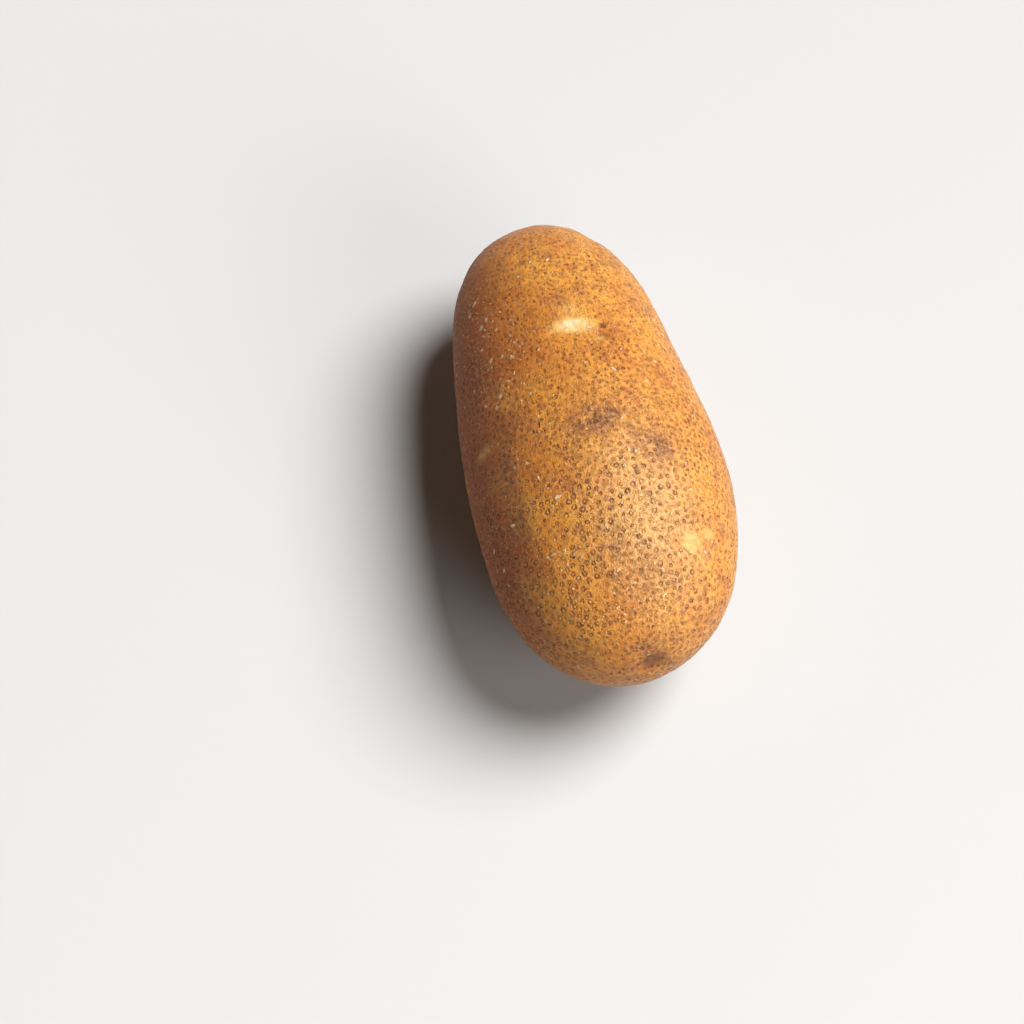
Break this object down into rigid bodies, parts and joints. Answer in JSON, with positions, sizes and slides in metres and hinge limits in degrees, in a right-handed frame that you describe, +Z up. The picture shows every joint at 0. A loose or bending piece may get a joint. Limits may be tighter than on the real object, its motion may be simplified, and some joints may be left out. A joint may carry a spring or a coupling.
{
  "type": "potato",
  "caption": "Whole raw russet potato: an egg-like long body with netted brown skin, shallow eyes, a stem scar and a small flat spot it lies on.",
  "frame": {"origin": "on the surface that the potato lies on, under the middle of its bounding box", "axes": "+X along the body towards its broad end, which has the stem scar; +Z up, away from the flat spot; +Y to the side"},
  "size_m": [0.134, 0.069, 0.06],
  "materials": {
    "potato_skin": "dull corky russet skin, brown netting and dark lenticels, with a faint waxy sheen"
  },
  "bodies": {
    "root": {"potato": "potato_skin"}
  },
  "joints": []
}
